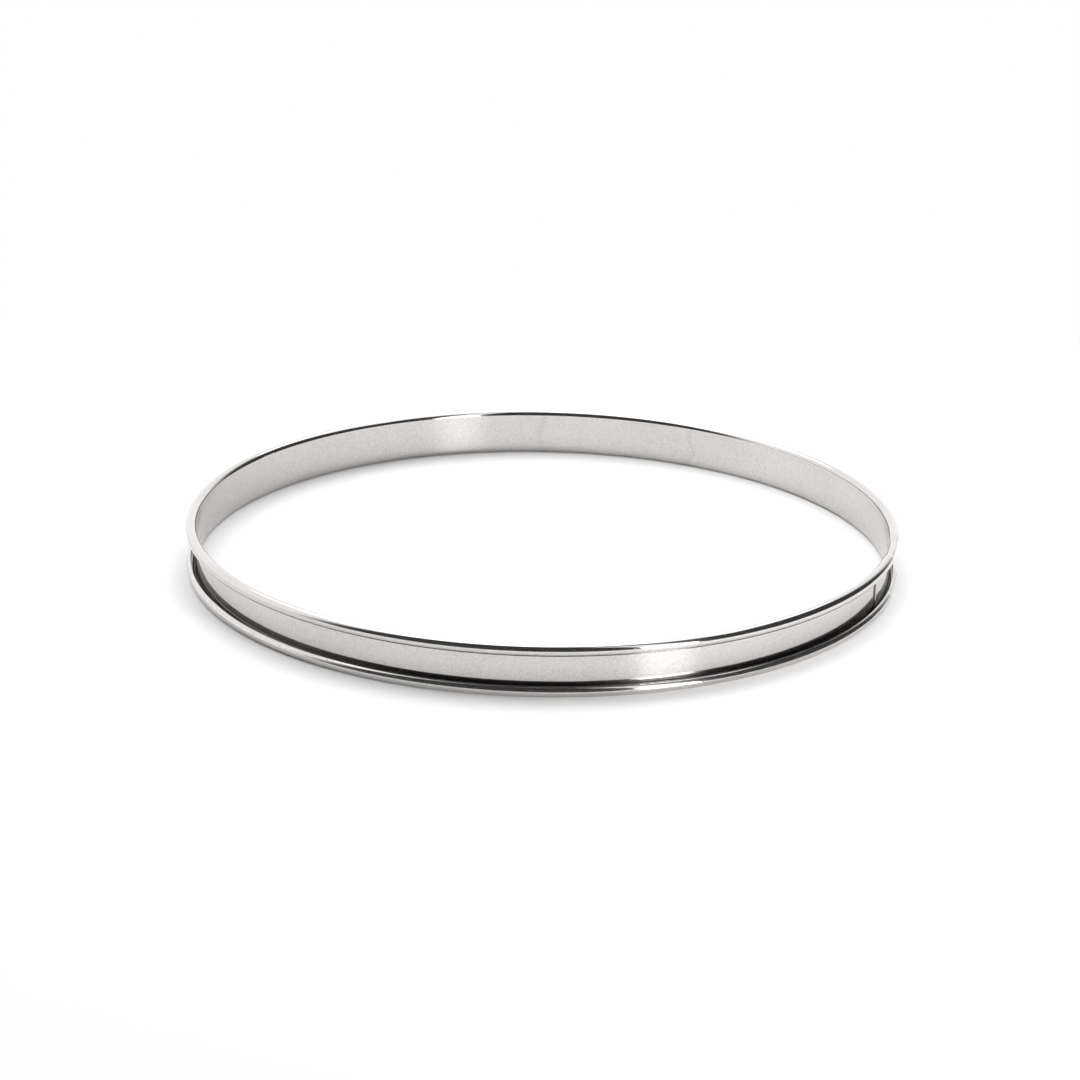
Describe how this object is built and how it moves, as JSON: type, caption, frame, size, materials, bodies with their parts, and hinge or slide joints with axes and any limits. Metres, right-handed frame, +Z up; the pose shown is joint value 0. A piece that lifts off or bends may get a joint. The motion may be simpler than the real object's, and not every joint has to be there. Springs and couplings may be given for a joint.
{
  "type": "tart ring",
  "caption": "Bottomless round ring of thin sheet steel with its edges rolled outwards into hollow beads and a lapped seam, for baking tarts on a tray.",
  "frame": {"origin": "middle of the ring, on the surface that it stands on", "axes": "+Z up along the ring's axis; the lapped seam lies between +X and -Y, at the right of a viewer who looks along +Y"},
  "size_m": [0.2888, 0.2888, 0.02],
  "materials": {
    "ring_band": "fine satin wall, polished rolled beads"
  },
  "bodies": {
    "root": {"ring_band": "ring_band"}
  },
  "joints": []
}
